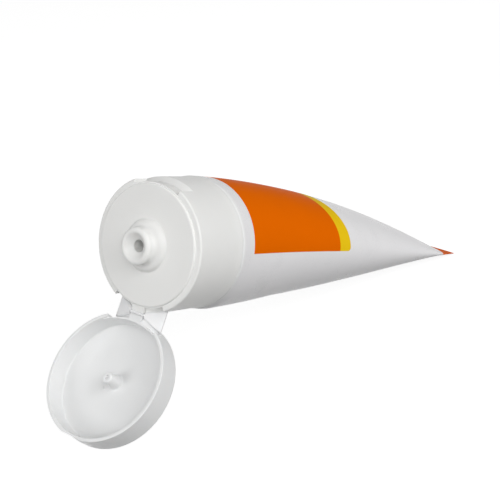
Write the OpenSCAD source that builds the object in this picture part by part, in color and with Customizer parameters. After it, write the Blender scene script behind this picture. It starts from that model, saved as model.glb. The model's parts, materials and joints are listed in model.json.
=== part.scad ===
// Squeeze tube of sunscreen with its flip-top cap open, lying on its lid and its flat end.
// Every piece is drawn in the cap's own frame: +Z out of the nozzle, +X towards the hinge,
// Z = 0 at the ledge that the closed lid meets. lay_down() then rests the tube on the floor.

/* [Cap] */
// Outer radius of the cap at its ledge
cap_r = 25; // [24.9:0.05:25.1]
// Outer radius of the skirt above its flared end
skirt_r = 25.1; // [25:0.05:25.15]
// Outer radius of the skirt's flared end
skirt_end_r = 25.5; // [25.3:0.05:25.6]
// Length of the skirt below the ledge
skirt_h = 24.3; // [23.8:0.1:24.5]
// Radius of the raised deck inside the ledge
deck_r = 22.7; // [22.4:0.1:22.8]
// Height of the deck above the ledge
deck_h = 0.8; // [0.6:0.1:1]
// Thickness of the cap's walls
wall = 1.6; // [1.4:0.1:1.8]

/* [Nozzle] */
// Radius of the outlet bore
bore_r = 2.3; // [2.2:0.05:2.5]
// Radius of the rounded lip
lip_r = 6.9; // [6.7:0.1:7]
// Height of the lip above the ledge
lip_top = 6.8; // [6.6:0.1:7]
// Radius where the flare meets the deck
foot_r = 9.8; // [9.4:0.1:10]

/* [Lid] */
// Outer radius of the lid at its rim
rim_r = 24.7; // [24.6:0.05:24.8]
// Outer radius of the lid at its plate
plate_r = 24.6; // [24.5:0.05:24.65]
// Height of the lid
lid_h = 10; // [9.8:0.1:10.4]
// Wall thickness of the lid
lid_wall = 1.3; // [1.2:0.1:1.4]
// Rounding of the plate's outer edge
plate_round = 0.8; // [0.7:0.1:1.2]
// How far the lid is open
lid_open = 150; // [145:1:152]

/* [Hinge] */
// Distance of the hinge's axis from the cap's axis
hinge_x = 25.6; // [25.5:0.05:25.7]
// Height of the hinge's axis above the ledge
hinge_z = 0.4; // [0.35:0.05:0.5]
// Half the angle of the gap that the hinge takes in the ledge
hinge_half_angle = 30; // [29.5:0.5:31]
// Half the width of the middle strap
strap_half_w = 2.9; // [2.6:0.1:3]
// Thickness of a side wing
wing_t = 0.9; // [0.8:0.05:1]

/* [Tube] */
// Outer radius of the moulded shoulder
shoulder_r = 25.35; // [25.2:0.05:25.4]
// Radius of the sleeve where it is round
sleeve_r = 25.05; // [25:0.05:25.1]
// How far the sleeve's underside bulges behind the shoulder
sag = 1.2; // [0:0.1:1.4]
// Length over which that bulge fades out
sag_l = 40; // [30:1:50]
// Distance from the ledge to the end of the crimp
tube_l = 183; // [178:1:188]
// Length of the crimp that is quite flat
crimp_l = 8.4; // [7:0.2:10]
// Half the thickness of the crimp
crimp_half_t = 0.5; // [0.4:0.05:0.55]
// How far the crimp lies off the cap's axis, towards the hinge
crimp_drop = 4.1; // [3:0.1:5]

/* [Print] */
// Where the orange field starts below the ledge
orange_start = 32; // [31:0.5:34]
// Where the orange field ends and the yellow strip starts
yellow_start = 90; // [86:1:92]
// Where the yellow strip ends
yellow_end = 97.5; // [95:0.5:99]
// Where the orange band of the crimp starts
band_start = 171.7; // [170:0.1:173]

/* [Hidden] */
$fn = 120;

white = [0.90, 0.90, 0.91];
sleeve_white = [0.88, 0.88, 0.90];
orange = [0.84, 0.33, 0.02];
yellow = [0.89, 0.73, 0.03];

// Clearances
film_gap = 0.2;        // between a wing and the piece that it is joined to by a film
ledge_gap = 0.15;      // between the ledge and the rim of the closed lid
deck_gap = 0.3;        // between the deck and what the closed lid has above its edge
print_t = 0.1;         // build of a printed field on the sleeve
past = 1;              // how far a cut runs past the surface that it opens
merge = 0.4;           // how far joined shapes run into each other

// Cap, below the ledge
ledge_round = 0.4;
deck_round = 0.8;
deck_under = deck_h - wall;
skirt_inner_r = skirt_r - wall;
spigot_r = 3.8;
spigot_end = -4.5;
collar_r = 10.4;
collar_t = 1.8;
collar_end = -19;
skirt_flare_h = 3;     // height of the flared end

// Nozzle
funnel_r = 4.3;
funnel_top = 6.2;
funnel_bottom = 4.3;
lip_round = 1.35;
lip_arc = [-35, 125];  // angles between which the lip's section is round
flare_round = 3.2;

// Recess for the hinge, the same in the cap and in the lid
recess_r = 22.8;       // back wall of the recess
backing_t = 1.4;       // wall behind a recess
backing_side = 4;      // angle by which that wall runs on past the recess

// Thumb scoop
scoop_r = 23.2;
scoop_half_angle = 24.5;
scoop_inner_depth = 5;
scoop_outer_depth = 7.25;
scoop_slope = (scoop_outer_depth - scoop_inner_depth) / (cap_r - scoop_r);

// Lid
lid_top = ledge_gap + lid_h;
plate_t = 1.4;
lid_inner_round = 3;
pin_r = 1.95;
pin_end = 2.4;
pin_foot_r = 3;
pin_chamfer = 0.6;
pin_hollow_r = 1;
pin_hollow_depth = 2.6;
thumb_flat_x = 23.9;
thumb_flat_h = 7;
thumb_flat_w = 20;

// Hinge
wing_inner_y = 3.4;
wing_outer_y = 12;
wing_face_r = cap_r - 0.2;         // radius at which the film lines and the wings' outer faces lie
fold_slope = 90 - lid_open / 4;    // slope of the film lines' plane, which makes the wings rigid
strap_t = 0.5;
strap_reach = 2.2;
lug_gap = 0.3;
lug_h = 3.2;

// Tube
weld_l = 6;            // length over which the sleeve narrows from the shoulder
sag_rise = 4;          // length over which the underside's bulge sets in
weld_rings = 3;
taper_start = 30;
front_shape = [1.44, 0.566];
back_shape = [1.9, 0.65];
drop_power = 1.12;
shoulder_top = -24.6;
shoulder_round = 1;
shoulder_gap = 0.6;                // between the skirt's inside and the shoulder's cone
sleeve_top = -26.2;
neck_r = 10.3;
neck_top = -3;
neck_bore_r = 4;
neck_bore_end = -14;
around = 80;                       // points round one ring of the sleeve
print_edge = 1;                    // ring point where the printed fields start, above the side
field_rings = 12;
taper_rings = 14;
band_rings = 4;

// Points of an arc about [x, y], counted from angle a0 to angle a1.
function arc(x, y, r, a0, a1, n = 6) =
    [for (i = [0:n]) let (a = a0 + (a1 - a0) * i / n) [x + r * cos(a), y + r * sin(a)]];

// Share of the way from the round part to the flat crimp, at depth d below the ledge.
function taper(d) = min(1, max(0, (d - taper_start) / (tube_l - crimp_l - taper_start)));
function swell(d, shape) =
    max(crimp_half_t, sleeve_r * pow(max(0, 1 - pow(taper(d), shape[0])), shape[1]));

// How far the sleeve swells at depth d, all round next to the shoulder and at its underside.
function past_weld(d) = d + sleeve_top;
function weld_swell(d) = (shoulder_r - sleeve_r) * max(0, 1 - past_weld(d) / weld_l);
function sag_swell(d) =
    sag * sin(90 * min(1, past_weld(d) / sag_rise)) * cos(90 * min(1, past_weld(d) / sag_l));

// Perimeter of an ellipse with half axes a and b.
function perimeter(a, b) = PI * (3 * (a + b) - sqrt((3 * a + b) * (a + 3 * b)));
// Half width that keeps the sleeve's perimeter when its half thickness is b.
function half_width(b, low, high, n = 16) =
    n == 0 ? (low + high) / 2
    : let (a = (low + high) / 2)
      perimeter(a, b) > 2 * PI * sleeve_r ? half_width(b, low, a, n - 1) : half_width(b, a, high, n - 1);

// One ring of the sleeve at depth d, grown outwards by t. Angle 0 is the side, 90 the printed front.
function ring(d, t = 0) =
    let (front = swell(d, front_shape), back = swell(d, back_shape),
         side = half_width((front + back) / 2, sleeve_r * 0.9, sleeve_r * PI / 2),
         middle = crimp_drop * pow(taper(d), drop_power))
    [for (i = [0:around - 1])
        let (a = 360 * i / around, thick = sin(a) > 0 ? front : back,
             more = t + weld_swell(d) + sag_swell(d) * max(0, -sin(a)))
        [middle - (thick + more) * sin(a), (side + more) * cos(a), -d]];

// Depths of the rings: even steps from one depth to another.
function steps(from, to, n) = [for (i = [0:n]) from + (to - from) * i / n];

function flat(lists) = [for (l = lists) each l];

// Faces of a skin between rings of m points. closed joins the last point of a ring to its first.
function skin_faces(rows, m, first, closed, outward) =
    [for (i = [0:rows - 2], j = [0:(closed ? m - 1 : m - 2)])
        let (a = first + i * m + j, b = first + i * m + (j + 1) % m, c = b + m, d = a + m)
        each (outward ? [[a, d, b], [b, d, c]] : [[a, b, d], [b, c, d]])];

// A closed solid through whole rings, the first one uppermost.
module loft(depths) {
    rings = [for (d = depths) ring(d)];
    last = (len(depths) - 1) * around;
    polyhedron(
        points = flat(rings),
        faces = concat(
            skin_faces(len(depths), around, 0, true, true),
            [[for (i = [0:around - 1]) i]],
            [[for (i = [around - 1:-1:0]) last + i]]),
        convexity = 4);
}

// A thin printed field over the front of the sleeve, from ring point print_edge round to its mirror point.
module printed_field(depths) {
    m = around / 2 - 2 * print_edge + 1;
    rows = len(depths);
    picked = [for (t = [print_t, 0]) [for (d = depths) let (r = ring(d, t))
        [for (j = [0:m - 1]) r[print_edge + j]]]];
    n = rows * m;
    top = [for (j = [0:m - 2]) each [[j, j + 1, n + j], [j + 1, n + j + 1, n + j]]];
    bottom = [for (j = [0:m - 2]) let (k = (rows - 1) * m + j) each [[k, n + k, k + 1], [k + 1, n + k, n + k + 1]]];
    low = [for (i = [0:rows - 2]) let (k = i * m) each [[k, n + k, k + m], [k + m, n + k, n + k + m]]];
    high = [for (i = [0:rows - 2]) let (k = i * m + m - 1) each [[k, k + m, n + k], [k + m, n + k + m, n + k]]];
    polyhedron(
        points = flat([for (side = picked) flat(side)]),
        faces = concat(skin_faces(rows, m, 0, false, true), skin_faces(rows, m, n, false, false),
                       top, bottom, low, high),
        convexity = 4);
}

// Lays the cap's frame down so that the lid's edge and the crimp touch Z = 0.
edge_centre = [hinge_x, hinge_z] + turned(lid_open,
    [-(plate_r - plate_round) - hinge_x, lid_top - plate_round - hinge_z]);
crimp_foot = [crimp_drop + crimp_half_t + print_t, -tube_l - print_t];
reach = edge_centre - crimp_foot;
rest_tilt = asin(plate_round / norm(reach)) + atan2(reach[0], reach[1]);
// Highest and lowest place along the floor, which put the origin at the middle of the part.
rim_edge = [hinge_x, hinge_z] + turned(lid_open, [-rim_r - hinge_x, ledge_gap - hinge_z]);
far_end = along_floor(rim_edge);
near_end = along_floor([crimp_drop - crimp_half_t - print_t, -tube_l - print_t]);
// A point [x, z] turned about the Y axis by an angle, as the lid opens.
function turned(angle, p) = [p[0] * cos(angle) + p[1] * sin(angle), p[1] * cos(angle) - p[0] * sin(angle)];
function along_floor(p) = p[1] * cos(rest_tilt) + p[0] * sin(rest_tilt);
function above_floor(p) = p[1] * sin(rest_tilt) - p[0] * cos(rest_tilt);

module lay_down() {
    translate([-(far_end + near_end) / 2, 0, -above_floor(crimp_foot)])
        rotate([0, 90 - rest_tilt, 0]) children();
}

// Turns a piece of the closed lid to where the lid stands open.
module opened() {
    translate([hinge_x, 0, hinge_z]) rotate([0, lid_open, 0]) translate([-hinge_x, 0, -hinge_z]) children();
}

// A wedge of a ring about the Z axis, centred on the hinge side, from a profile [r, z].
module sector(half_angle, profile) {
    rotate([0, 0, -half_angle]) rotate_extrude(angle = 2 * half_angle) polygon(profile);
}

// The film lines run down from the strap to the outer corners of the recess.
// line_z is their height below the hinge's axis at the distance y from the middle.
function fold_x(y) = sqrt(wing_face_r * wing_face_r - y * y);
function fold_z(y) = (hinge_x - fold_x(y)) * tan(fold_slope);
fold_in = [fold_x(wing_inner_y), wing_inner_y, hinge_z - fold_z(wing_inner_y)];
fold_out = [fold_x(wing_outer_y), wing_outer_y, hinge_z - fold_z(wing_outer_y)];
fold_axis = (fold_out - fold_in) / norm(fold_out - fold_in);
wing_turn = acos((cos(lid_open / 2) - fold_axis[2] * fold_axis[2]) / (1 - fold_axis[2] * fold_axis[2]));

// The space of the recess in the cap, which is open upwards: its floor falls from the strap to both sides.
// way is 1 in the cap and -1 in the lid, where the same space is open downwards.
module recess(way) {
    inner = hinge_z - way * fold_z(wing_inner_y);
    outer = hinge_z - way * fold_z(wing_outer_y);
    slope = (outer - inner) / (wing_outer_y - wing_inner_y);
    side_y = cap_r;
    side_z = inner + slope * (side_y - wing_inner_y);
    open_z = hinge_z + way * lid_h;
    intersection() {
        sector(hinge_half_angle, [[recess_r, -skirt_h], [cap_r + past, -skirt_h],
                                  [cap_r + past, skirt_h], [recess_r, skirt_h]]);
        rotate([90, 0, 90]) linear_extrude(height = cap_r + past)
            polygon([[-side_y, open_z], [-side_y, side_z], [-wing_inner_y, inner],
                     [wing_inner_y, inner], [side_y, side_z], [side_y, open_z]]);
    }
}

module cap_profile() {
    foot_z = deck_h + flare_round;
    waist_r = foot_r - flare_round;
    lip_z = lip_top - lip_round;
    polygon(concat(
        [[skirt_inner_r, -skirt_h], [skirt_end_r, -skirt_h], [skirt_r, skirt_flare_h - skirt_h]],
        arc(cap_r - ledge_round, -ledge_round, ledge_round, 0, 90, 3),
        [[deck_r, 0]],
        arc(deck_r - deck_round, deck_h - deck_round, deck_round, 0, 90, 4),
        arc(foot_r, foot_z, flare_round, 270, 180, 6),
        arc(lip_r - lip_round, lip_z, lip_round, lip_arc[0], lip_arc[1], 7),
        [[funnel_r, funnel_top], [bore_r, funnel_bottom], [bore_r, spigot_end],
         [spigot_r, spigot_end], [spigot_r, deck_under], [collar_r, deck_under],
         [collar_r, collar_end], [collar_r + collar_t, collar_end], [collar_r + collar_t, deck_under],
         [skirt_inner_r, deck_under]]));
}

// The wall behind a recess or a scoop whose own back wall is at radius r, between two heights.
module backing(half_angle, r, low, high) {
    outer_r = skirt_inner_r + merge;
    sector(half_angle + backing_side, [[r - backing_t, low], [outer_r, low], [outer_r, high], [r - backing_t, high]]);
}

// The block that carries the middle strap, between two heights.
module strap_lug(low, high) {
    translate([recess_r - merge, -strap_half_w, low])
        cube([hinge_x - strap_t - recess_r + merge, 2 * strap_half_w, high - low]);
}

module cap_base() {
    shelf_z = hinge_z - fold_z(cap_r * sin(hinge_half_angle));
    color(white) lay_down() union() {
        difference() {
            union() {
                rotate_extrude() cap_profile();
                backing(hinge_half_angle, recess_r, shelf_z - backing_t, deck_under + merge);
                rotate([0, 0, 180])
                    backing(scoop_half_angle, scoop_r, -scoop_outer_depth - backing_t, deck_under + merge);
            }
            recess(1);
            rotate([0, 0, 180]) sector(scoop_half_angle,
                [[scoop_r, -scoop_inner_depth], [cap_r + past, -scoop_outer_depth - past * scoop_slope],
                 [cap_r + past, past], [scoop_r, past]]);
        }
        strap_lug(-lug_h, hinge_z - lug_gap);
    }
}

module lid_profile() {
    inner_r = rim_r - lid_wall;
    floor_z = lid_top - plate_t;
    floor_r = plate_r - lid_wall;
    polygon(concat(
        [[0, lid_top]],
        arc(plate_r - plate_round, lid_top - plate_round, plate_round, 90, 0, 6),
        [[rim_r, ledge_gap], [inner_r, ledge_gap]],
        arc(floor_r - lid_inner_round, floor_z - lid_inner_round, lid_inner_round, 0, 90, 6),
        [[pin_foot_r, floor_z]],
        arc(pin_foot_r, floor_z - (pin_foot_r - pin_r), pin_foot_r - pin_r, 90, 180, 3),
        [[pin_r, pin_end + pin_chamfer], [pin_r - pin_chamfer, pin_end], [pin_hollow_r, pin_end],
         [pin_hollow_r, pin_end + pin_hollow_depth], [0, pin_end + pin_hollow_depth]]));
}

module flip_lid() {
    shelf_z = hinge_z + fold_z(cap_r * sin(hinge_half_angle));
    clear_z = deck_h + deck_gap;
    color(white) lay_down() opened() union() {
        difference() {
            union() {
                rotate_extrude() lid_profile();
                backing(hinge_half_angle, recess_r, clear_z, shelf_z + backing_t);
            }
            recess(-1);
            translate([-thumb_flat_x - past, -thumb_flat_w / 2, -past])
                cube([past, thumb_flat_w, thumb_flat_h + past]);
        }
        strap_lug(clear_z, lug_h + deck_gap);
    }
}

// A side wing as it lies with the lid closed, on the +Y side, a clearance short of both film lines.
module closed_wing() {
    run = norm([fold_out[0] - fold_in[0], fold_out[1] - fold_in[1]]);
    heading = atan2(fold_out[1] - fold_in[1], fold_out[0] - fold_in[0]);
    low_in = fold_z(wing_inner_y) - film_gap;
    low_out = fold_z(wing_outer_y) - film_gap;
    translate([fold_in[0], fold_in[1], hinge_z]) rotate([90, 0, heading])
        translate([0, 0, -wing_t]) linear_extrude(height = wing_t)
            polygon([[0, -low_in], [run, -low_out], [run, low_out], [0, low_in]]);
}

module open_wing() {
    color(white) lay_down()
        translate(fold_in) rotate(a = wing_turn, v = fold_axis) translate(-fold_in) closed_wing();
}

module wing_right() open_wing();
module wing_left() mirror([0, 1, 0]) open_wing();

// The middle strap: a leaf on the cap, a leaf on the lid and the fold between them.
module hinge_strap() {
    leaf = [strap_t, 2 * strap_half_w, strap_reach];
    color(white) lay_down() union() {
        translate([hinge_x - strap_t, -strap_half_w, hinge_z - strap_reach]) cube(leaf);
        opened() translate([hinge_x - strap_t, -strap_half_w, hinge_z]) cube(leaf);
        translate([hinge_x, 0, hinge_z]) rotate([90, 0, 0])
            cylinder(r = strap_t, h = 2 * strap_half_w, center = true);
    }
}

// The moulded head of the tube: shoulder and neck, closed below by what fills the tube.
module shoulder() {
    seat_r = collar_r + collar_t + shoulder_gap;
    color(white) lay_down() rotate_extrude() polygon(concat(
        [[0, sleeve_top], [shoulder_r, sleeve_top]],
        arc(shoulder_r - shoulder_round, shoulder_top - shoulder_round, shoulder_round, 0, 90, 4),
        [[skirt_inner_r - shoulder_gap, shoulder_top], [seat_r, collar_end], [neck_r, collar_end],
         [neck_r, neck_top], [neck_bore_r, neck_top], [neck_bore_r, neck_bore_end], [0, neck_bore_end]]));
}

// Depths of the sleeve's rings, which the printed fields share.
band_depths_below = [for (d = steps(band_start, tube_l, band_rings)) if (d > band_start) d];
sleeve_depths = concat(steps(-sleeve_top, orange_start, weld_rings),
                       steps(orange_start + 4, yellow_start, field_rings),
                       steps(yellow_end, band_start, taper_rings), band_depths_below);

module sleeve() color(sleeve_white) lay_down() loft(sleeve_depths);

module orange_field()
    color(orange) lay_down() printed_field([for (d = sleeve_depths) if (d >= orange_start && d <= yellow_start) d]);

module yellow_strip()
    color(yellow) lay_down() printed_field([for (d = sleeve_depths) if (d >= yellow_start && d <= yellow_end) d]);

// The orange band wraps both faces, the edges and the end of the crimp.
module crimp_band() {
    depths = concat([band_start], band_depths_below);
    rows = len(depths);
    n = rows * around;
    outer = [for (d = depths) ring(d, print_t)];
    end = [for (p = ring(tube_l, print_t)) [p[0], p[1], -tube_l - print_t]];
    inner = [for (d = depths) ring(d)];
    color(orange) lay_down() polyhedron(
        points = concat(flat(outer), end, flat(inner)),
        faces = concat(
            skin_faces(rows + 1, around, 0, true, true),
            [[for (i = [around - 1:-1:0]) n + i]],
            skin_faces(rows, around, n + around, true, false),
            [[for (i = [0:around - 1]) 2 * n + i]],
            [for (j = [0:around - 1]) let (k = (j + 1) % around, m = n + around)
                each [[j, k, m + j], [k, m + k, m + j]]]),
        convexity = 4);
}

sleeve();
shoulder();
cap_base();
flip_lid();
hinge_strap();
wing_left();
wing_right();
orange_field();
yellow_strip();
crimp_band();
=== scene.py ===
"""A squeeze tube of sunscreen, lying on its open flip-top lid and on its crimp.

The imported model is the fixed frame. Each visible piece is modelled again here in the cap's own frame, in
millimetres, with the roundings and films that the solids leave out, and is then placed in metres.
"""
import json
import logging
from dataclasses import dataclass
from enum import Enum
from math import acos, atan2, cos, degrees, pi, radians, sin, sqrt, tan

import bmesh
import bpy
from mathutils import Matrix, Vector

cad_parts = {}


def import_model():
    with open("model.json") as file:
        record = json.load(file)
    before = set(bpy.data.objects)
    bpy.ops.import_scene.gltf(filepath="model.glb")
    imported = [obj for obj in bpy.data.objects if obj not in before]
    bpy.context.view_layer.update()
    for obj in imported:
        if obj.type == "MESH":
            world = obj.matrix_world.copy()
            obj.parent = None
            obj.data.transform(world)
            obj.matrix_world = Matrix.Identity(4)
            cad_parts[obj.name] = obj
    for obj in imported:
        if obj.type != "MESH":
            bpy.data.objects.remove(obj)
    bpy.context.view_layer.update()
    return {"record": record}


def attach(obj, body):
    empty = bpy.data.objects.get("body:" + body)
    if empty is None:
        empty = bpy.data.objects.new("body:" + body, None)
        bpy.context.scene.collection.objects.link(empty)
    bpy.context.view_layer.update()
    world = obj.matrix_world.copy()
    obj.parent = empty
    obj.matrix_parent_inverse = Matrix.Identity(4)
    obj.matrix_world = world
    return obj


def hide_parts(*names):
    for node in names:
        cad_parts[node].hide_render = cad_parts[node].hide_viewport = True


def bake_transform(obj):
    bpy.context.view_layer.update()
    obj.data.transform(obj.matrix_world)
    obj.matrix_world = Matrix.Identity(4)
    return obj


LOG = logging.getLogger("tube")
MM = 0.001
TURN_STEPS = 244
SECTOR_STEP = 0.7
MERGE_DISTANCE = 1e-4
ARC_STEP = 11.0
BEVEL_EDGE = 32.0
SHARP_EDGE = 38.0
SKIN_EDGE = 50.0
HALVINGS = 24
Point = tuple[float, float]
Triple = tuple[float, float, float]


class Body(Enum):
    """The bodies of the frame that pieces ride on."""

    TUBE = "tube"
    LID = "lid"
    LEFT_WING = "left_wing"
    RIGHT_WING = "right_wing"


class Slot(Enum):
    """The record's material slots."""

    SLEEVE = "sleeve"
    SHOULDER = "shoulder"
    CAP = "cap"
    LID = "lid"
    FILM = "hinge_film"
    ORANGE = "orange_print"
    YELLOW = "yellow_print"
    CRIMP = "crimp_print"


class Side(Enum):
    """The sides of the hinge, as the sign of Y."""

    RIGHT = 1
    LEFT = -1


@dataclass(frozen=True)
class Placing:
    """Where the cap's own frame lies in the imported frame.

    In the cap's frame +Z points out of the nozzle, +X towards the hinge, and Z = 0 is the ledge.
    """

    cap: Matrix
    hinge: Vector
    open_angle: float

    @classmethod
    def from_record(cls, record: dict) -> "Placing":
        """Reads the placing off the nozzle's mount and the lid's joint.

        Args:
            record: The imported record.

        Returns:
            The placing of the cap and of the lid.
        """
        mounts = {mount["name"]: mount for mount in record["mounts"]}
        joints = {joint["name"]: joint for joint in record["behaviour"]["joints"]}
        nozzle, lid = mounts["nozzle_outlet"], joints["lid_hinge"]
        out = Vector(nozzle["axis"]).normalized()
        side = Vector((0.0, 1.0, 0.0))
        towards_hinge = side.cross(out)
        turn = Matrix((towards_hinge, side, out)).transposed().to_4x4()
        cap = Matrix.Translation(nozzle["pos_m"]) @ turn @ Matrix.Scale(MM, 4)
        hinge = cap.inverted() @ Vector(lid["pos_m"])
        return cls(cap, hinge, radians(lid["range_deg"][1]))

    def about_hinge(self, angle: float) -> Matrix:
        """Gives the turn of the cap's frame by an angle in radians about the hinge, as the lid opens."""
        to_hinge = Matrix.Translation(self.hinge)
        return to_hinge @ Matrix.Rotation(angle, 4, "Y") @ to_hinge.inverted()

    @property
    def lid(self) -> Matrix:
        """The placing of a lid that is drawn shut and stands open."""
        return self.cap @ self.about_hinge(self.open_angle)


def arc(centre: Point, radius: float, start: float, end: float, steps: int) -> list[Triple]:
    """Gives points of an arc as sharp corners.

    Args:
        centre: The arc's centre.
        radius: Its radius.
        start: The angle of its first point, in degrees.
        end: The angle of its last point, in degrees.
        steps: The number of steps between them.

    Returns:
        The points, each with a rounding of 0.
    """
    angles = [radians(start + (end - start) * i / steps) for i in range(steps + 1)]
    return [(centre[0] + radius * cos(a), centre[1] + radius * sin(a), 0.0) for a in angles]


def rounded(corners: list[Triple], closed: bool = True) -> list[Point]:
    """Rounds the corners of an outline.

    Args:
        corners: The corners, each with its place and the radius of its rounding.
        closed: Whether the last corner is joined to the first.

    Returns:
        The outline's points.
    """
    points: list[Point] = []
    count = len(corners)
    for index, (x, y, radius) in enumerate(corners):
        at_end = not closed and index in (0, count - 1)
        if radius == 0 or at_end:
            points.append((x, y))
            continue
        here = Vector((x, y))
        back = (Vector(corners[index - 1][:2]) - here).normalized()
        ahead = (Vector(corners[(index + 1) % count][:2]) - here).normalized()
        half = acos(max(-1.0, min(1.0, back.dot(ahead)))) / 2
        centre = here + (back + ahead).normalized() * radius / sin(half)
        first = here + back * radius / tan(half) - centre
        last = here + ahead * radius / tan(half) - centre
        start = atan2(first.y, first.x)
        sweep = (atan2(last.y, last.x) - start + pi) % (2 * pi) - pi
        steps = max(2, round(degrees(abs(sweep)) / ARC_STEP))
        for i in range(steps + 1):
            angle = start + sweep * i / steps
            points.append((centre.x + radius * cos(angle), centre.y + radius * sin(angle)))
    return points


class Workshop:
    """Turns meshes into pieces of the object."""

    @staticmethod
    def add(name: str, bm: bmesh.types.BMesh) -> bpy.types.Object:
        """Makes an object of a bmesh, and frees the bmesh.

        Args:
            name: The object's name.
            bm: The bmesh, in millimetres.

        Returns:
            The object.
        """
        mesh = bpy.data.meshes.new(name)
        bm.to_mesh(mesh)
        bm.free()
        piece = bpy.data.objects.new(name, mesh)
        bpy.context.scene.collection.objects.link(piece)
        return piece

    @staticmethod
    def apply_modifiers(piece: bpy.types.Object) -> None:
        """Replaces a mesh by what its object's modifiers make of it.

        Args:
            piece: The object.
        """
        graph = bpy.context.evaluated_depsgraph_get()
        mesh = bpy.data.meshes.new_from_object(piece.evaluated_get(graph))
        piece.modifiers.clear()
        before = piece.data
        piece.data = mesh
        bpy.data.meshes.remove(before)

    @classmethod
    def combine(cls, piece: bpy.types.Object, other: bpy.types.Object, operation: str) -> None:
        """Combines a piece with another, which is used up.

        Args:
            piece: The piece that stays.
            other: The piece that is cut away, added or intersected.
            operation: DIFFERENCE, UNION or INTERSECT.
        """
        boolean = piece.modifiers.new("combine", "BOOLEAN")
        boolean.operation = operation
        boolean.solver = "EXACT"
        boolean.object = other
        cls.apply_modifiers(piece)
        bpy.data.objects.remove(other)

    @classmethod
    def soften(cls, piece: bpy.types.Object, width: float, segments: int = 3) -> None:
        """Rounds the sharp edges of a piece and keeps its flat faces flat in the light.

        Args:
            piece: The piece, still in millimetres.
            width: The width of the rounding.
            segments: The number of its segments.
        """
        bevel = piece.modifiers.new("edges", "BEVEL")
        bevel.width = width
        bevel.segments = segments
        bevel.limit_method = "ANGLE"
        bevel.angle_limit = radians(BEVEL_EDGE)
        bevel.use_clamp_overlap = True
        cls.apply_modifiers(piece)

    @classmethod
    def smooth(cls, piece: bpy.types.Object, angle: float = SHARP_EDGE) -> None:
        """Shades a piece smooth, apart from its sharp edges.

        Args:
            piece: The piece.
            angle: The angle in degrees from which an edge counts as sharp.
        """
        bm = bmesh.new()
        bm.from_mesh(piece.data)
        for face in bm.faces:
            face.smooth = True
        for edge in bm.edges:
            edge.smooth = len(edge.link_faces) != 2 or edge.calc_face_angle(0.0) < radians(angle)
        bm.to_mesh(piece.data)
        bm.free()
        weights = piece.modifiers.new("light", "WEIGHTED_NORMAL")
        weights.keep_sharp = True
        cls.apply_modifiers(piece)

    @staticmethod
    def finish(piece: bpy.types.Object, place: Matrix, body: Body, slot: Slot,
               material: bpy.types.Material, node: str) -> None:
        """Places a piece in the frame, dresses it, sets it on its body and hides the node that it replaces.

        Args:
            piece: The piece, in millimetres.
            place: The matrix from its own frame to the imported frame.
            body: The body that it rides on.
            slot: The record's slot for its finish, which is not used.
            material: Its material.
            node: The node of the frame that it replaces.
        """
        piece.data.transform(place)
        piece.data.materials.clear()
        piece.data.materials.append(material)
        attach(piece, body.value)
        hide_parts(node)
        LOG.info("%s: %d faces on %s", piece.name, len(piece.data.polygons), body.value)


def face_outwards(bm: bmesh.types.BMesh) -> None:
    """Turns the faces of a mesh outwards."""
    bmesh.ops.recalc_face_normals(bm, faces=bm.faces)


def turned_solid(outline: list[Point], steps: int = TURN_STEPS, closed: bool = True) -> bmesh.types.BMesh:
    """Turns an outline of radii and heights about the Z axis.

    Args:
        outline: The outline's points.
        steps: The number of steps of a whole turn.
        closed: Whether the outline's last point is joined to its first.

    Returns:
        The turned solid.
    """
    bm = bmesh.new()
    verts = [bm.verts.new((r, 0.0, z)) for r, z in outline]
    pairs = list(zip(verts, verts[1:]))
    if closed:
        pairs.append((verts[-1], verts[0]))
    edges = [bm.edges.new(pair) for pair in pairs]
    bmesh.ops.spin(bm, geom=verts + edges, cent=(0, 0, 0), axis=(0, 0, 1), angle=2 * pi,
                   steps=steps, use_merge=True)
    bmesh.ops.remove_doubles(bm, verts=bm.verts, dist=MERGE_DISTANCE)
    face_outwards(bm)
    return bm


def sector(outline: list[Point], half_angle: float, middle: float = 0.0) -> bmesh.types.BMesh:
    """Turns an outline through a part of a turn about the Z axis, as a closed wedge.

    Args:
        outline: The outline's points, as radii and heights.
        half_angle: Half the angle of the wedge, in degrees.
        middle: The direction of its middle, in degrees from +X.

    Returns:
        The wedge.
    """
    steps = max(4, round(half_angle / SECTOR_STEP))
    bm = bmesh.new()
    face = bm.faces.new([bm.verts.new((r, 0.0, z)) for r, z in outline])
    start = Matrix.Rotation(radians(middle - half_angle), 3, "Z")
    bmesh.ops.rotate(bm, verts=bm.verts, cent=(0, 0, 0), matrix=start)
    bmesh.ops.spin(bm, geom=[face, *face.edges, *face.verts], cent=(0, 0, 0), axis=(0, 0, 1),
                   angle=radians(2 * half_angle), steps=steps)
    bmesh.ops.remove_doubles(bm, verts=bm.verts, dist=MERGE_DISTANCE)
    face_outwards(bm)
    return bm


def verts_of(grown: dict) -> list[bmesh.types.BMVert]:
    """Gives the vertices among what an extrusion has drawn."""
    return [item for item in grown["geom"] if isinstance(item, bmesh.types.BMVert)]


def block(low: Triple, high: Triple) -> bmesh.types.BMesh:
    """Makes a block.

    Args:
        low: Its lowest corner.
        high: Its highest corner.

    Returns:
        The block.
    """
    bm = bmesh.new()
    bmesh.ops.create_cube(bm, size=1.0)
    size = [b - a for a, b in zip(low, high)]
    middle = [(a + b) / 2 for a, b in zip(low, high)]
    bmesh.ops.scale(bm, verts=bm.verts, vec=size)
    bmesh.ops.translate(bm, verts=bm.verts, vec=middle)
    return bm


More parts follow.
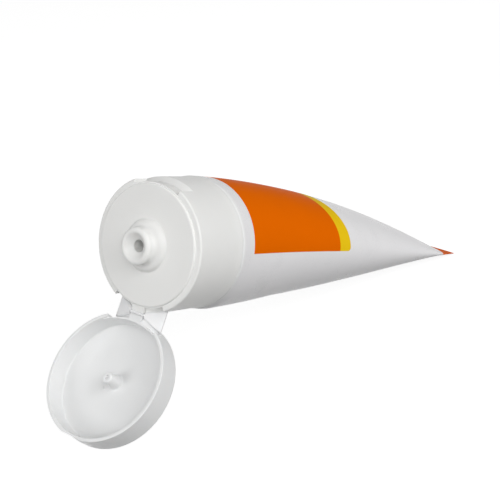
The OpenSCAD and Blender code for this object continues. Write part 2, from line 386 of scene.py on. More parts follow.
def add_node(tree: bpy.types.NodeTree, kind: str, settings: dict | None = None,
             values: dict | None = None, links: dict | None = None) -> bpy.types.Node:
    """Adds a node to a tree and wires its inputs.

    Args:
        tree: The tree.
        kind: The node's type, without its first words.
        settings: The node's own settings, by their names.
        values: The values of its inputs, by their names.
        links: The sockets that feed its inputs, by the inputs' names or places.

    Returns:
        The node.
    """
    node = tree.nodes.new(f"ShaderNode{kind}")
    for name, setting in (settings or {}).items():
        setattr(node, name, setting)
    for name, value in (values or {}).items():
        node.inputs[name].default_value = value
    for name, socket in (links or {}).items():
        tree.links.new(socket, node.inputs[name])
    return node


@dataclass(frozen=True)
class Finish:
    """The finish of a plastic surface or of the ink on it.

    Attributes:
        name: The material's name.
        colour: The colour, as linear red, green and blue.
        roughness: The middle roughness.
        spread: How far the roughness varies on either side of it.
        tint: How far the colour varies, as a share of it.
        grain: The size of the moulded grain, in grains per metre.
        grain_depth: The depth of the grain, in metres.
        waves: The size of the broad unevenness, in waves per metre.
        wave_depth: The depth of the broad unevenness, in metres.
        glow: How much light scatters under the surface.
        shine: The strength of the reflection, where 0.5 is that of plain plastic.
        scatter: How far red, green and blue light scatter, as shares.
        scatter_depth: The depth of the scattering, in metres.
        noise_range: The values that the two mixed noises mostly lie between.
        details: The detail of the broad and of the fine noise.
    """

    name: str
    colour: Triple
    roughness: float
    spread: float = 0.05
    tint: float = 0.02
    grain: float = 2400.0
    grain_depth: float = 0.000004
    waves: float = 60.0
    wave_depth: float = 0.00002
    glow: float = 0.0
    shine: float = 0.3
    scatter: Triple = (1.0, 0.95, 0.9)
    scatter_depth: float = 0.0012
    noise_range: Point = (0.1, 0.4)
    details: Point = (2.0, 4.0)

    def build(self) -> bpy.types.Material:
        """Builds the material.

        Returns:
            The material, whose patterns are on Object coordinates.
        """
        material = bpy.data.materials.new(self.name)
        material.use_nodes = True
        tree = material.node_tree
        place = add_node(tree, "TexCoord").outputs["Object"]
        broad, fine = (add_node(tree, "TexNoise", values={"Scale": scale, "Detail": detail},
                                links={"Vector": place}).outputs["Fac"]
                       for scale, detail in zip((self.waves, self.grain), self.details))
        darker = (*(c * (1 - self.tint) for c in self.colour), 1.0)
        lighter = (*(min(1.0, c * (1 + self.tint)) for c in self.colour), 1.0)
        colour = add_node(tree, "Mix", {"data_type": "RGBA"}, {"A": darker, "B": lighter},
                          {"Factor": broad})
        both = add_node(tree, "Math", {"operation": "MULTIPLY"}, links={0: broad, 1: fine})
        gloss = add_node(tree, "MapRange", values={
            "From Min": self.noise_range[0], "From Max": self.noise_range[1],
            "To Min": self.roughness - self.spread, "To Max": self.roughness + self.spread},
            links={"Value": both.outputs[0]})
        waves = add_node(tree, "Bump", values={"Distance": self.wave_depth}, links={"Height": broad})
        grain = add_node(tree, "Bump", values={"Distance": self.grain_depth},
                         links={"Height": fine, "Normal": waves.outputs["Normal"]})
        shader = tree.nodes["Principled BSDF"]
        shader.inputs["Specular IOR Level"].default_value = self.shine
        shader.inputs["Subsurface Weight"].default_value = self.glow
        shader.inputs["Subsurface Radius"].default_value = self.scatter
        shader.inputs["Subsurface Scale"].default_value = self.scatter_depth
        tree.links.new(colour.outputs["Result"], shader.inputs["Base Color"])
        tree.links.new(gloss.outputs["Result"], shader.inputs["Roughness"])
        tree.links.new(grain.outputs["Normal"], shader.inputs["Normal"])
        return material


@dataclass(frozen=True)
class Finishes:
    """All the finishes of the tube."""

    cap: Finish = Finish("satin_white_cap", (0.82, 0.82, 0.805), 0.34, glow=0.2, shine=0.25)
    lid: Finish = Finish("satin_white_lid", (0.81, 0.815, 0.815), 0.36, glow=0.2, shine=0.25)
    film: Finish = Finish("folded_film", (0.85, 0.85, 0.855), 0.45, glow=0.25, shine=0.2)
    shoulder: Finish = Finish("moulded_shoulder", (0.82, 0.82, 0.82), 0.4, glow=0.1, shine=0.15)
    sleeve: Finish = Finish("white_sleeve", (0.805, 0.798, 0.808), 0.3, grain_depth=0.000002,
                            glow=0.08, shine=0.18)
    orange: Finish = Finish("orange_ink", (0.79, 0.139, 0.0003), 0.34, tint=0.03,
                            grain_depth=0.000002, shine=0.002)
    yellow: Finish = Finish("yellow_ink", (0.85, 0.565, 0.011), 0.34, tint=0.02,
                            grain_depth=0.000002, shine=0.002)
    crimp: Finish = Finish("orange_ink_on_the_weld", (0.82, 0.135, 0.001), 0.32, tint=0.04, shine=0.002)


@dataclass(frozen=True)
class Recess:
    """The space that the hinge takes in the ledge and in the lid's rim, in the cap's frame.

    Attributes:
        radius: The radius of its back wall.
        half_angle: Half the angle that it takes, in degrees.
        backing: The thickness of the wall behind it.
        backing_side: The angle by which that wall runs on past it, in degrees.
        inner_y: Where the film lines start, from the middle.
        outer_y: Where the film lines end.
        face_radius: The radius at which the film lines lie.
        slope: The slope of the film lines' plane, in degrees.
        hinge: The hinge's axis, as its distance and its height.
        past: How far a cutter reaches past what it cuts.
        cap_radius: The radius of the cap.
        reach: How far the recess opens from the hinge's axis.
        merge: How far an added wall or lug runs into its part.
        lug_half_width: Half the width of the strap and of its lugs.
        lug_height: The height of the lugs.
        strap_thickness: The thickness of the strap.
    """

    hinge: Point
    slope: float
    radius: float = 23.1
    half_angle: float = 29.4
    backing: float = 1.4
    backing_side: float = 4.0
    inner_y: float = 3.4
    outer_y: float = 12.0
    face_radius: float = 24.8
    past: float = 1.0
    cap_radius: float = 25.0
    reach: float = 12.0
    merge: float = 0.4
    lug_half_width: float = 2.9
    lug_height: float = 3.2
    strap_thickness: float = 0.5

    def fold_x(self, y: float) -> float:
        """Gives how far a film line lies from the cap's axis at a distance from the middle."""
        return sqrt(self.face_radius ** 2 - y * y)

    def fold_z(self, y: float) -> float:
        """Gives how far a film line lies below the hinge's axis at a distance from the middle."""
        return (self.hinge[0] - self.fold_x(y)) * tan(radians(self.slope))

    def shelf(self) -> float:
        """Gives how far the recess reaches below the hinge's axis at its ends."""
        return self.fold_z(self.cap_radius * sin(radians(self.half_angle)))

    def cutter(self, way: int) -> bpy.types.Object:
        """Makes the space of the recess.

        Args:
            way: 1 in the cap, which is open upwards, and -1 in the lid.

        Returns:
            The cutter.
        """
        outer_r, tall = self.cap_radius + self.past, self.reach * 2
        inner_z = self.hinge[1] - way * self.fold_z(self.inner_y)
        outer_z = self.hinge[1] - way * self.fold_z(self.outer_y)
        side_y = self.cap_radius
        side_z = inner_z + (outer_z - inner_z) * (side_y - self.inner_y) / (self.outer_y - self.inner_y)
        open_z = self.hinge[1] + way * self.reach
        wedge = Workshop.add("recess", sector([(self.radius, -tall), (outer_r, -tall), (outer_r, tall),
                                               (self.radius, tall)], self.half_angle))
        outline = [(-side_y, open_z), (-side_y, side_z), (-self.inner_y, inner_z),
                   (self.inner_y, inner_z), (side_y, side_z), (side_y, open_z)]
        bm = bmesh.new()
        face = bm.faces.new([bm.verts.new((0.0, y, z)) for y, z in outline])
        grown = bmesh.ops.extrude_face_region(bm, geom=[face])
        bmesh.ops.translate(bm, verts=verts_of(grown), vec=(outer_r + self.past, 0, 0))
        face_outwards(bm)
        Workshop.combine(wedge, Workshop.add("slopes", bm), "INTERSECT")
        return wedge

    def wall(self, radius: float, outer_r: float, low: float, high: float, half_angle: float,
             middle: float = 0.0) -> bpy.types.Object:
        """Makes the wall behind a recess.

        Args:
            radius: The radius of the recess's back wall.
            outer_r: The radius at which this wall runs into the skirt.
            low: Its lower height.
            high: Its upper height.
            half_angle: Half the angle of the recess, in degrees.
            middle: The direction of its middle, in degrees.

        Returns:
            The wall.
        """
        inner_r = radius - self.backing
        outline = [(inner_r, low), (outer_r, low), (outer_r, high), (inner_r, high)]
        return Workshop.add("backing", sector(outline, half_angle + self.backing_side, middle))

    def lug(self, low: float, high: float) -> bpy.types.Object:
        """Makes the lug that holds one end of the strap.

        Args:
            low: Its lower height.
            high: Its upper height.

        Returns:
            The lug.
        """
        return Workshop.add("lug", block(
            (self.radius - self.merge, -self.lug_half_width, low),
            (self.hinge[0] - self.strap_thickness, self.lug_half_width, high)))


@dataclass(frozen=True)
class CapBase:
    """The lower part of the flip-top cap, in millimetres in the cap's frame."""

    recess: Recess
    radius: float = 25.0
    skirt_radius: float = 25.1
    skirt_end_radius: float = 25.5
    skirt_flare: float = 3.0
    skirt_height: float = 24.3
    wall: float = 1.6
    deck_radius: float = 22.7
    deck_height: float = 0.8
    bore_radius: float = 2.3
    lip_radius: float = 6.9
    lip_top: float = 7.2
    lip_round: float = 1.35
    waist: Point = (6.9, 3.3)
    bell: Point = (9.1, 2.1)
    foot_radius: float = 9.8
    funnel_bottom: float = 4.7
    spigot_radius: float = 3.8
    spigot_end: float = -4.5
    collar_radius: float = 10.4
    collar_wall: float = 1.8
    collar_end: float = -19.0
    scoop_radius: float = 23.2
    scoop_half_angle: float = 26.5
    scoop_inner_depth: float = 5.0
    scoop_outer_depth: float = 7.25
    lug_gap: float = 0.3
    edge_width: float = 0.22

    def outline(self) -> list[Point]:
        """Gives the turned outline, with all its roundings.

        Returns:
            The outline's points.
        """
        inner_r = self.skirt_radius - self.wall
        under = self.deck_height - self.wall
        lip = (self.lip_radius - self.lip_round, self.lip_top - self.lip_round)
        return rounded([
            (inner_r, -self.skirt_height, 0.2), (self.skirt_end_radius, -self.skirt_height, 0.4),
            (self.skirt_radius, self.skirt_flare - self.skirt_height, 14.0),
            (self.radius, 0.0, 0.7), (self.deck_radius, 0.0, 0.05),
            (self.deck_radius, self.deck_height, 0.75),
            (self.foot_radius, self.deck_height, 0.7), (*self.bell, 2.6), (*self.waist, 2.2),
            *arc(lip, self.lip_round, -35, 125, 16),
            (self.bore_radius, self.funnel_bottom, 0.4), (self.bore_radius, self.spigot_end, 0.15),
            (self.spigot_radius, self.spigot_end, 0.3), (self.spigot_radius, under, 0.5),
            (self.collar_radius, under, 0.3), (self.collar_radius, self.collar_end, 0.3),
            (self.collar_radius + self.collar_wall, self.collar_end, 0.3),
            (self.collar_radius + self.collar_wall, under, 0.5), (inner_r, under, 0.5)])

    def scoop(self) -> bpy.types.Object:
        """Makes the space of the thumb scoop, whose floor slopes down outwards.

        Returns:
            The cutter.
        """
        outer_r = self.radius + self.recess.past
        slope = (self.scoop_outer_depth - self.scoop_inner_depth) / (self.radius - self.scoop_radius)
        outline = [(self.scoop_radius, -self.scoop_inner_depth),
                   (outer_r, -self.scoop_outer_depth - slope), (outer_r, self.recess.past),
                   (self.scoop_radius, self.recess.past)]
        return Workshop.add("scoop", sector(outline, self.scoop_half_angle, 180.0))

    def build(self) -> bpy.types.Object:
        """Builds the base with its recess, its scoop and the lug of the strap.

        Returns:
            The base.
        """
        recess = self.recess
        outer_r = self.skirt_radius - self.wall + recess.merge
        top = self.deck_height - self.wall + recess.merge
        low = recess.hinge[1] - recess.shelf() - recess.backing
        piece = Workshop.add("cap_base_shell", turned_solid(self.outline()))
        for other, operation in (
                (recess.wall(recess.radius, outer_r, low, top, recess.half_angle), "UNION"),
                (recess.wall(self.scoop_radius, outer_r, -self.scoop_outer_depth - recess.backing, top,
                             self.scoop_half_angle, 180.0), "UNION"),
                (recess.cutter(1), "DIFFERENCE"), (self.scoop(), "DIFFERENCE"),
                (recess.lug(-recess.lug_height, recess.hinge[1] - self.lug_gap), "UNION")):
            Workshop.combine(piece, other, operation)
        Workshop.soften(piece, self.edge_width)
        Workshop.smooth(piece)
        return piece


@dataclass(frozen=True)
class FlipLid:
    """The lid, drawn shut, in millimetres in the cap's frame."""

    recess: Recess
    rim_radius: float = 24.7
    plate_radius: float = 24.6
    height: float = 10.0
    gap: float = 0.15
    wall: float = 1.3
    plate: float = 1.4
    plate_round: float = 0.8
    inner_round: float = 0.7
    dish: Point = (7.5, 0.35)
    pin_radius: float = 2.6
    pin_tip_radius: float = 2.0
    pin_end: float = 2.4
    pin_foot_round: float = 0.9
    pin_chamfer: float = 0.6
    hollow_radius: float = 0.8
    hollow_depth: float = 0.9
    flat_x: float = 24.1
    flat_height: float = 7.0
    flat_width: float = 20.0
    deck_height: float = 0.8
    deck_gap: float = 0.3
    backing_curve: float = 30.0
    backing_middle: float = 22.2
    backing_half_angle: float = 32.0
    gate: Point = (-3.8, -4.7)
    gate_radius: float = 0.8
    gate_height: float = 0.25
    edge_width: float = 0.2

    def outline(self) -> list[Point]:
        """Gives the turned outline, with all its roundings.

        Returns:
            The outline's points.
        """
        top = self.gap + self.height
        floor = top - self.plate
        inner_r = self.plate_radius - self.wall
        dish_width, dish_depth = self.dish
        hollow_end = self.pin_end + self.hollow_depth
        return rounded([
            (0.0, top, 0.0), (self.plate_radius, top, self.plate_round),
            (self.rim_radius, self.gap, 0.25), (self.rim_radius - self.wall, self.gap, 0.25),
            (inner_r, floor - dish_depth, self.inner_round), (inner_r - dish_width, floor, 30.0),
            (self.pin_radius, floor, self.pin_foot_round),
            (self.pin_tip_radius, self.pin_end, self.pin_chamfer),
            (self.hollow_radius, self.pin_end, 0.15), (self.hollow_radius, hollow_end, 0.3),
            (0.0, hollow_end, 0.0)], closed=False)

    def gate_mark(self) -> bpy.types.Object:
        """Makes the small round mark that the mould's gate leaves on the lid's floor.

        Returns:
            The mark.
        """
        floor = self.gap + self.height - self.plate
        low, high = floor - self.gate_height, floor + self.recess.merge
        outline = rounded([(0.0, high, 0.0), (self.gate_radius, high, 0.0),
                           (self.gate_radius, low, 0.12), (0.0, low, 0.0)], closed=False)
        bm = turned_solid(outline, steps=32, closed=False)
        bmesh.ops.translate(bm, verts=bm.verts, vec=(*self.gate, 0.0))
        return Workshop.add("gate_mark", bm)

    def backing(self, low: float, high: float) -> bpy.types.Object:
        """Makes the wall behind the recess, whose inside curves into the lid's own wall.

        Args:
            low: Its lower height.
            high: Its upper height.

        Returns:
            The wall.
        """
        recess = self.recess
        wall = recess.wall(recess.radius, self.rim_radius - self.wall + recess.merge, low, high,
                           self.backing_half_angle)
        below, above = low - recess.past, high + recess.past
        curve = turned_solid([(0.0, below), (self.backing_curve, below), (self.backing_curve, above),
                              (0.0, above)], closed=False)
        middle = self.backing_middle - self.backing_curve
        bmesh.ops.translate(curve, verts=curve.verts, vec=(middle, 0.0, 0.0))
        Workshop.combine(wall, Workshop.add("curve", curve), "DIFFERENCE")
        return wall

    def build(self) -> bpy.types.Object:
        """Builds the lid with its recess, the flat at its front and the lug of the strap.

        Returns:
            The lid.
        """
        recess = self.recess
        low = self.deck_height + self.deck_gap
        high = recess.hinge[1] + recess.shelf() + recess.backing
        piece = Workshop.add("flip_lid_shell", turned_solid(self.outline(), closed=False))
        flat = block((-self.flat_x - 2 * recess.past, -self.flat_width / 2, -recess.past),
                     (-self.flat_x, self.flat_width / 2, self.flat_height))
        for other, operation in (
                (self.backing(low, high), "UNION"), (self.gate_mark(), "UNION"),
                (recess.cutter(-1), "DIFFERENCE"), (Workshop.add("flat", flat), "DIFFERENCE"),
                (recess.lug(low, recess.lug_height + self.deck_gap), "UNION")):
            Workshop.combine(piece, other, operation)
        Workshop.soften(piece, self.edge_width)
        Workshop.smooth(piece)
        return piece


@dataclass(frozen=True)
class Hinge:
    """The butterfly hinge: a middle strap that bends, and a stiff wing on each side."""

    placing: Placing
    recess: Recess
    wing_thickness: float = 0.9
    film_thickness: float = 0.3
    film_width: float = 0.7
    strap_reach: float = 2.2
    strap_share: float = 0.9
    leaf_steps: int = 6
    fold_steps: int = 12
    wing_share: float = 0.89
    edge_width: float = 0.1

    def folds(self) -> tuple[Vector, Vector]:
        """Gives the two ends of the film line of the right wing on the cap.

        Returns:
            The inner and the outer end.
        """
        hinge_z = self.recess.hinge[1]
        ends = [Vector((self.recess.fold_x(y), y, hinge_z - self.recess.fold_z(y)))
                for y in (self.recess.inner_y, self.recess.outer_y)]
        return ends[0], ends[1]

    def opened(self) -> Matrix:
        """Gives the turn of the right wing about its film line, from shut to open.

        Returns:
            The turn, in the cap's frame.
        """
        inner, outer = self.folds()
        axis = (outer - inner).normalized()
        half_open = cos(self.placing.open_angle / 2)
        angle = acos((half_open - axis.z ** 2) / (1 - axis.z ** 2))
        there = Matrix.Translation(inner)
        return there @ Matrix.Rotation(angle, 4, axis) @ there.inverted()

    def wing(self, side: Side) -> bpy.types.Object:
        """Builds a wing: a panel that thins out to a film at both film lines.

        Args:
            side: The side of the hinge.

        Returns:
            The wing, open, in the cap's frame.
        """
        inner, outer = self.folds()
        inner_h = self.recess.fold_z(self.recess.inner_y)
        outer_h = inner_h + (self.recess.fold_z(self.recess.outer_y) - inner_h) * self.wing_share
        along = Vector((outer.x - inner.x, outer.y - inner.y, 0.0)) * self.wing_share
        outward = Vector((along.y, -along.x, 0.0)).normalized()
        start = Vector((inner.x, inner.y, self.recess.hinge[1]))

        def section(height: float) -> list[Point]:
            """Gives the section of the wing where its film lines lie at a height.

            Args:
                height: The height.

            Returns:
                The section's points, as depths and heights.
            """
            full = height - self.film_width
            return [(0.0, -height), (0.0, height), (-self.film_thickness, height),
                    (-self.wing_thickness, full), (-self.wing_thickness, -full),
                    (-self.film_thickness, -height)]

        bm = bmesh.new()
        face = bm.faces.new([bm.verts.new(start + outward * d + Vector((0, 0, z)))
                             for d, z in section(inner_h)])
        grown = bmesh.ops.extrude_face_region(bm, geom=[face])
        far = self._in_order(verts_of(grown), start, outward, section(inner_h))
        for vert, (depth, z) in zip(far, section(outer_h)):
            vert.co = start + along + outward * depth + Vector((0, 0, z))
        face_outwards(bm)
        bmesh.ops.transform(bm, matrix=self.opened(), verts=bm.verts)
        if side is Side.LEFT:
            bmesh.ops.scale(bm, verts=bm.verts, vec=(1, -1, 1))
            face_outwards(bm)
        piece = Workshop.add(f"{side.name.lower()}_wing_panel", bm)
        Workshop.soften(piece, self.edge_width, segments=2)
        Workshop.smooth(piece)
        return piece

    @staticmethod
    def _in_order(verts: list, start: Vector, outward: Vector, section: list) -> list:
        """Sorts vertices as the points of a section that they lie on."""
        places = [start + outward * depth + Vector((0, 0, z)) for depth, z in section]
        return [min(verts, key=lambda vert: (vert.co - place).length) for place in places]

    def strap(self) -> bpy.types.Object:
        """Builds the middle strap as one strip that folds over the hinge's axis.

        Returns:
            The strap, open.
        """
        hinge = Vector((self.recess.hinge[0], 0.0, self.recess.hinge[1]))
        middle = self.recess.strap_thickness / 2
        steps = self.leaf_steps
        leaf = [(-middle, -self.strap_reach * (1 - i / steps)) for i in range(steps)]
        turn = degrees(self.placing.open_angle)
        fold = [(middle * cos(radians(a)), middle * sin(radians(a)))
                for a in (180 - turn * i / self.fold_steps for i in range(self.fold_steps + 1))]
        way = Vector((sin(self.placing.open_angle), cos(self.placing.open_angle)))
        tip = [(fold[-1][0] + way.x * self.strap_reach * i / steps,
                fold[-1][1] + way.y * self.strap_reach * i / steps) for i in range(1, steps + 1)]
        bm = bmesh.new()
        path = [bm.verts.new((hinge.x + x, -self.recess.lug_half_width, hinge.z + z))
                for x, z in leaf + fold + tip]
        edges = [bm.edges.new(pair) for pair in zip(path, path[1:])]
        grown = bmesh.ops.extrude_edge_only(bm, edges=edges)
        bmesh.ops.translate(bm, verts=verts_of(grown), vec=(0, 2 * self.recess.lug_half_width, 0))
        face_outwards(bm)
        piece = Workshop.add("hinge_strap_film", bm)
        thick = piece.modifiers.new("thickness", "SOLIDIFY")
        thick.thickness = self.recess.strap_thickness * self.strap_share
        thick.offset = 0.0
        Workshop.apply_modifiers(piece)
        Workshop.smooth(piece, SKIN_EDGE)
        return piece


@dataclass(frozen=True)
class Tube:
    """The sleeve, its printed fields and the shoulder, in millimetres in the cap's frame."""

    radius: float = 25.05
    shoulder_radius: float = 25.35
    sag: float = 1.2
    sag_length: float = 40.0
    sag_rise: float = 4.0
    weld_length: float = 6.0
    length: float = 183.0
    crimp_length: float = 8.4
    crimp_half_thickness: float = 0.5
    crimp_drop: float = 4.1
    taper_start: float = 30.0
    front_shape: Point = (1.44, 0.566)
    back_shape: Point = (1.9, 0.65)
    drop_power: float = 1.12
    sleeve_start: float = 26.2
    shoulder_start: float = 24.6
    orange_start: float = 32.0
    yellow_start: float = 90.0
    yellow_end: float = 97.5
    band_start: float = 171.7
    print_angles: Point = (2.6, 3.6)
    print_build: float = 0.07
    print_sink: float = 0.05
    print_step: float = 1.2
    yellow_corner: float = 1.5
    neck_gap: float = 0.6
    neck_radius: float = 10.3
    neck_bore: float = 4.0
    neck_top: float = -3.0
    neck_bore_end: float = -14.0
    around: int = 288
    ring_step: float = 1.4

    def taper(self, depth: float) -> float:
        """Gives the share of the way from the round part to the flat crimp."""
        whole = self.length - self.crimp_length - self.taper_start
        return min(1.0, max(0.0, (depth - self.taper_start) / whole))

    def swell(self, depth: float, shape: Point) -> float:
        """Gives the half thickness of the front or the back at a depth."""
        share = max(0.0, 1 - self.taper(depth) ** shape[0]) ** shape[1]
        return max(self.crimp_half_thickness, self.radius * share)

    def bulge(self, depth: float, downwards: float) -> float:
        """Gives how far the sleeve swells next to the shoulder, and sags on its underside.

        Args:
            depth: How far the place lies below the ledge.
            downwards: How much the place faces the underside, from 0 to 1.

        Returns:
            The swelling.
        """
        past = depth - self.sleeve_start
        weld = (self.shoulder_radius - self.radius) * max(0.0, 1 - past / self.weld_length)
        rise, fall = min(1.0, past / self.sag_rise), min(1.0, past / self.sag_length)
        return weld + self.sag * sin(rise * pi / 2) * cos(fall * pi / 2) * downwards

    def half_width(self, thickness: float) -> float:
        """Gives the half width that keeps the sleeve's perimeter.

        Args:
            thickness: The half thickness.

        Returns:
            The half width.
        """
        low, high = self.radius * 0.9, self.radius * pi / 2
        for _ in range(HALVINGS):
            a = (low + high) / 2
            b = thickness
            perimeter = pi * (3 * (a + b) - sqrt((3 * a + b) * (a + 3 * b)))
            low, high = (low, a) if perimeter > 2 * pi * self.radius else (a, high)
        return (low + high) / 2

    def point(self, depth: float, angle: float, grown: float = 0.0) -> Vector:
        """Gives a point of the sleeve.

        Args:
            depth: How far it lies below the ledge.
            angle: Its place round the sleeve in degrees: 0 is the side, 90 the printed front.
            grown: How far it lies outside the sleeve.

        Returns:
            The point in the cap's frame.
        """
        front, back = self.swell(depth, self.front_shape), self.swell(depth, self.back_shape)
        side = self.half_width((front + back) / 2)
        middle = self.crimp_drop * self.taper(depth) ** self.drop_power
        up, out = sin(radians(angle)), cos(radians(angle))
        thick = front if up > 0 else back
        more = grown + self.bulge(depth, max(0.0, -up))
        return Vector((middle - (thick + more) * up, (side + more) * out, -depth))

    def depths(self, start: float, end: float) -> list[float]:
        """Gives steps of about one length between two depths."""
        count = max(2, round((end - start) / self.ring_step))
        return [start + (end - start) * i / count for i in range(count + 1)]

    def rings(self, depths: list[float], grown: float = 0.0) -> tuple[bmesh.types.BMesh, list, list]:
        """Draws a skin out of a circle, ring by ring.

        Args:
            depths: The depths of the rings.
            grown: How far the skin lies outside the sleeve.

        Returns:
            The bmesh, and the edges of its first and its last ring.
        """
        bm = bmesh.new()
        ring = bmesh.ops.create_circle(bm, segments=self.around, radius=self.radius)["verts"]
        angles = {vert: degrees(atan2(-vert.co.x, vert.co.y)) for vert in ring}
        first = edges = list(bm.edges)
        for vert in ring:
            vert.co = self.point(depths[0], angles[vert], grown)
        for depth in depths[1:]:
            drawn = bmesh.ops.extrude_edge_only(bm, edges=edges)["geom"]
            ring = {vert for vert in drawn if isinstance(vert, bmesh.types.BMVert)}
            edges = [edge for edge in drawn
                     if isinstance(edge, bmesh.types.BMEdge) and ring.issuperset(edge.verts)]
            for vert in ring:
                before = next(edge.other_vert(vert) for edge in vert.link_edges
                              if edge.other_vert(vert) not in ring)
                angles[vert] = angles[before]
                vert.co = self.point(depth, angles[vert], grown)
        return bm, first, edges

    def sleeve(self) -> bpy.types.Object:
        """Builds the white sleeve as one closed skin.

        Returns:
            The sleeve.
        """
        depths = self.depths(self.sleeve_start, self.taper_start) + self.depths(
            self.taper_start, self.length - self.crimp_length)[1:] + self.depths(
            self.length - self.crimp_length, self.length)[1:]
        bm, first, last = self.rings(depths)
        bmesh.ops.edgeloop_fill(bm, edges=first)
        bmesh.ops.edgeloop_fill(bm, edges=last)
        face_outwards(bm)
        piece = Workshop.add("sleeve_skin", bm)
        Workshop.smooth(piece, SKIN_EDGE)
        return piece

    def field(self, name: str, start: float, end: float, corner: float = 0.0) -> bpy.types.Object:
        """Builds a printed field on the front of the sleeve, as a thin closed layer.

        Args:
            name: The piece's name.
            start: The depth at which it starts.
            end: The depth at which it ends.
            corner: The radius of its two far corners.

        Returns:
            The field.
        """
        rows = max(8, round((end - start) / self.print_step))
        columns = round(self.around / 2)
        bm = bmesh.new()
        bmesh.ops.create_grid(bm, x_segments=columns, y_segments=rows, size=1.0)
        for vert in bm.verts:
            depth = start + (end - start) * (vert.co.y + 1) / 2
            into = max(0.0, depth - (end - corner))
            cut = corner - sqrt(max(0.0, corner ** 2 - into ** 2))
            along = (depth - self.orange_start) / (self.yellow_end - self.orange_start)
            edge = self.print_angles[0] + (self.print_angles[1] - self.print_angles[0]) * along
            edge += degrees(cut / self.radius)
            angle = edge + (180 - 2 * edge) * (vert.co.x + 1) / 2
            vert.co = self.point(depth, angle, self.print_build)
        face_outwards(bm)
        middle = self.point((start + end) / 2, 90.0)
        top = min(bm.faces, key=lambda face: (face.calc_center_median() - middle).length)
        if top.normal.x > 0:
            bmesh.ops.reverse_faces(bm, faces=bm.faces)
        bmesh.ops.solidify(bm, geom=bm.faces, thickness=self.print_build + self.print_sink)
        piece = Workshop.add(name, bm)
        Workshop.smooth(piece, SKIN_EDGE)
        return piece

    def crimp(self) -> bpy.types.Object:
        """Builds the orange band that wraps both faces, the edges and the end of the crimp.

        Returns:
            The band.
        """
        depths = self.depths(self.band_start, self.length + self.print_build)
        bm, _, last = self.rings(depths, self.print_build)
        bmesh.ops.edgeloop_fill(bm, edges=last)
        face_outwards(bm)
        bmesh.ops.solidify(bm, geom=bm.faces, thickness=self.print_build + self.print_sink)
        piece = Workshop.add("crimp_print", bm)
        Workshop.smooth(piece, SKIN_EDGE)
        return piece

    def shoulder(self, cap: CapBase) -> bpy.types.Object:
        """Builds the moulded head that joins the sleeve to the cap.

        Args:
            cap: The cap that stands on it.

        Returns:
            The shoulder with its neck.
        """
        gap = self.neck_gap
        inner_r = cap.skirt_radius - cap.wall
        seat_r = cap.collar_radius + cap.collar_wall + gap
        outline = rounded([
            (0.0, -self.sleeve_start, 0.0), (self.shoulder_radius, -self.sleeve_start, 0.0),
            (self.shoulder_radius, -self.shoulder_start, 1.0), (inner_r - gap, -self.shoulder_start, 0.4),
            (seat_r, cap.collar_end, 0.4), (self.neck_radius, cap.collar_end, 0.2),
            (self.neck_radius, self.neck_top, 0.5), (self.neck_bore, self.neck_top, 0.4),
            (self.neck_bore, self.neck_bore_end, 0.5), (0.0, self.neck_bore_end, 0.0)], closed=False)
        piece = Workshop.add("shoulder_head", turned_solid(outline, closed=False))
        Workshop.smooth(piece)
        return piece


@dataclass(frozen=True)
class Softbox:
    """A soft square lamp that faces the object.

    Attributes:
        name: The lamp's name.
        azimuth: Its direction from the object, in degrees from +X towards +Y.
        elevation: Its direction above the floor, in degrees.
        size: Its width, in metres.
        power: Its power, in watts.
        distance: How far it stands from the object, in metres.
    """

    name: str
    azimuth: float
    elevation: float
    size: float
    power: float
    distance: float = 1.2

    def build(self, aim: Vector) -> None:
        """Creates the lamp.

        Args:
            aim: The point that it faces.
        """
        across = cos(radians(self.elevation))
        way = Vector((cos(radians(self.azimuth)) * across, sin(radians(self.azimuth)) * across,
                      sin(radians(self.elevation))))
        data = bpy.data.lights.new(self.name, "AREA")
        data.size = self.size
        data.energy = self.power
        lamp = bpy.data.objects.new(self.name, data)
        turn = (-way).to_track_quat("-Z", "Y").to_matrix().to_4x4()
        lamp.matrix_world = Matrix.Translation(aim + way * self.distance) @ turn
        bpy.context.scene.collection.objects.link(lamp)


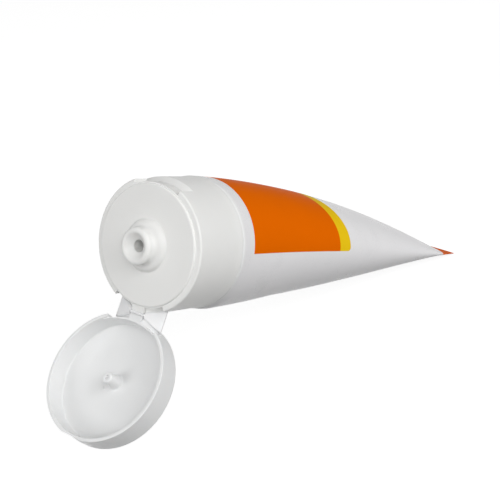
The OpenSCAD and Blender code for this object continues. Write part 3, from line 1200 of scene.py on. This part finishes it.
@dataclass(frozen=True)
class Studio:
    """The pale floor, the plain light and the camera."""

    eye: Triple = (0.29109, 0.22825, 0.21802)
    target: Triple = (0.04473, 0.03322, 0.06385)
    roll: float = -2.12
    lens: float = 70.56
    sensor: float = 36.0
    nearest: float = 0.01
    floor_size: float = 8.0
    ambient: float = 0.26
    floor_bounce: float = 0.18
    floor_shade: float = 0.24
    floor_light: float = 0.9
    aim: Triple = (0.03, 0.0, 0.04)
    softboxes: tuple[Softbox, ...] = (
        Softbox("key_softbox", 38, 40, 0.8, 5.1),
        Softbox("side_softbox", 90, 35, 0.8, 6.9),
        Softbox("fill_softbox", 95, 10, 0.5, 1.5),
        Softbox("low_softbox", -20, 10, 0.7, 5.3))

    def camera(self) -> None:
        """Creates the camera at the photograph's viewing angle."""
        data = bpy.data.cameras.new("camera")
        data.lens = self.lens
        data.sensor_width = self.sensor
        data.clip_start = self.nearest
        camera = bpy.data.objects.new("camera", data)
        view = Vector(self.target) - Vector(self.eye)
        turn = view.to_track_quat("-Z", "Y").to_matrix() @ Matrix.Rotation(radians(self.roll), 3, "Z")
        camera.matrix_world = Matrix.Translation(self.eye) @ turn.to_4x4()
        bpy.context.scene.collection.objects.link(camera)
        bpy.context.scene.camera = camera

    def floor(self) -> None:
        """Creates the floor, which shows white and throws back little light."""
        bm = bmesh.new()
        bmesh.ops.create_grid(bm, x_segments=1, y_segments=1, size=self.floor_size / 2)
        floor = Workshop.add("studio_floor", bm)
        material = bpy.data.materials.new("studio_floor")
        material.use_nodes = True
        tree = material.node_tree
        tree.nodes.clear()
        bounce, shade = (add_node(tree, "BsdfDiffuse", values={"Color": (grey, grey, grey, 1.0)}).outputs[0]
                         for grey in (self.floor_bounce, self.floor_shade))
        light = add_node(tree, "Emission", values={"Strength": self.floor_light}).outputs[0]
        shown = add_node(tree, "AddShader", links={0: shade, 1: light}).outputs[0]
        mix = add_node(tree, "MixShader", links={"Fac": self._seen(tree), 1: bounce, 2: shown}).outputs[0]
        add_node(tree, "OutputMaterial", links={"Surface": mix})
        floor.data.materials.append(material)

    @staticmethod
    def _seen(tree: bpy.types.NodeTree) -> bpy.types.NodeSocket:
        """Adds a factor that is 1 where the camera, a reflection or clear plastic shows the surface.

        Args:
            tree: The tree of the surface.

        Returns:
            The factor's socket.
        """
        path = add_node(tree, "LightPath")
        total = path.outputs["Is Camera Ray"]
        for name in ("Is Glossy Ray", "Is Transmission Ray"):
            larger = add_node(tree, "Math", {"operation": "MAXIMUM"},
                              links={0: total, 1: path.outputs[name]})
            total = larger.outputs[0]
        return total

    def world(self) -> None:
        """Creates a world that shows white and lights the object softly."""
        world = bpy.data.worlds.new("studio")
        world.use_nodes = True
        tree = world.node_tree
        tree.nodes.clear()
        strength = add_node(tree, "MapRange", values={"To Min": self.ambient, "To Max": 1.0},
                            links={"Value": self._seen(tree)}).outputs["Result"]
        light = add_node(tree, "Background", links={"Strength": strength}).outputs[0]
        add_node(tree, "OutputWorld", links={"Surface": light})
        bpy.context.scene.world = world

    def build(self) -> None:
        """Sets up the whole studio."""
        bpy.context.scene.view_settings.view_transform = "Standard"
        self.camera()
        self.floor()
        self.world()
        for softbox in self.softboxes:
            softbox.build(Vector(self.aim))


def main() -> None:
    """Loads the frame, builds and dresses every piece, and sets up the studio."""
    logging.basicConfig(level=logging.INFO, format="%(message)s")
    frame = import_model()
    placing = Placing.from_record(frame["record"])
    recess = Recess(hinge=(placing.hinge.x, placing.hinge.z), slope=90 - degrees(placing.open_angle) / 4)
    finishes = Finishes()
    cap, lid, tube = CapBase(recess), FlipLid(recess), Tube()
    hinge = Hinge(placing, recess)

    Workshop.finish(cap.build(), placing.cap, Body.TUBE, Slot.CAP, finishes.cap.build(), "cap_base")
    Workshop.finish(lid.build(), placing.lid, Body.LID, Slot.LID, finishes.lid.build(), "flip_lid")
    film = finishes.film.build()
    for side, body in ((Side.RIGHT, Body.RIGHT_WING), (Side.LEFT, Body.LEFT_WING)):
        Workshop.finish(hinge.wing(side), placing.cap, body, Slot.FILM, film, f"wing_{side.name.lower()}")
    strap = hinge.strap()
    strap.data.transform(placing.cap)
    strap.data.materials.append(film)
    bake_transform(strap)
    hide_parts("hinge_strap")

    for piece, slot, finish, node in (
            (tube.sleeve(), Slot.SLEEVE, finishes.sleeve, "sleeve"),
            (tube.shoulder(cap), Slot.SHOULDER, finishes.shoulder, "shoulder"),
            (tube.field("orange_print", tube.orange_start, tube.yellow_start), Slot.ORANGE,
             finishes.orange, "orange_field"),
            (tube.field("yellow_print", tube.yellow_start, tube.yellow_end, tube.yellow_corner),
             Slot.YELLOW, finishes.yellow, "yellow_strip"),
            (tube.crimp(), Slot.CRIMP, finishes.crimp, "crimp_band")):
        Workshop.finish(piece, placing.cap, Body.TUBE, slot, finish.build(), node)
    Studio().build()


if __name__ == "__main__":
    main()
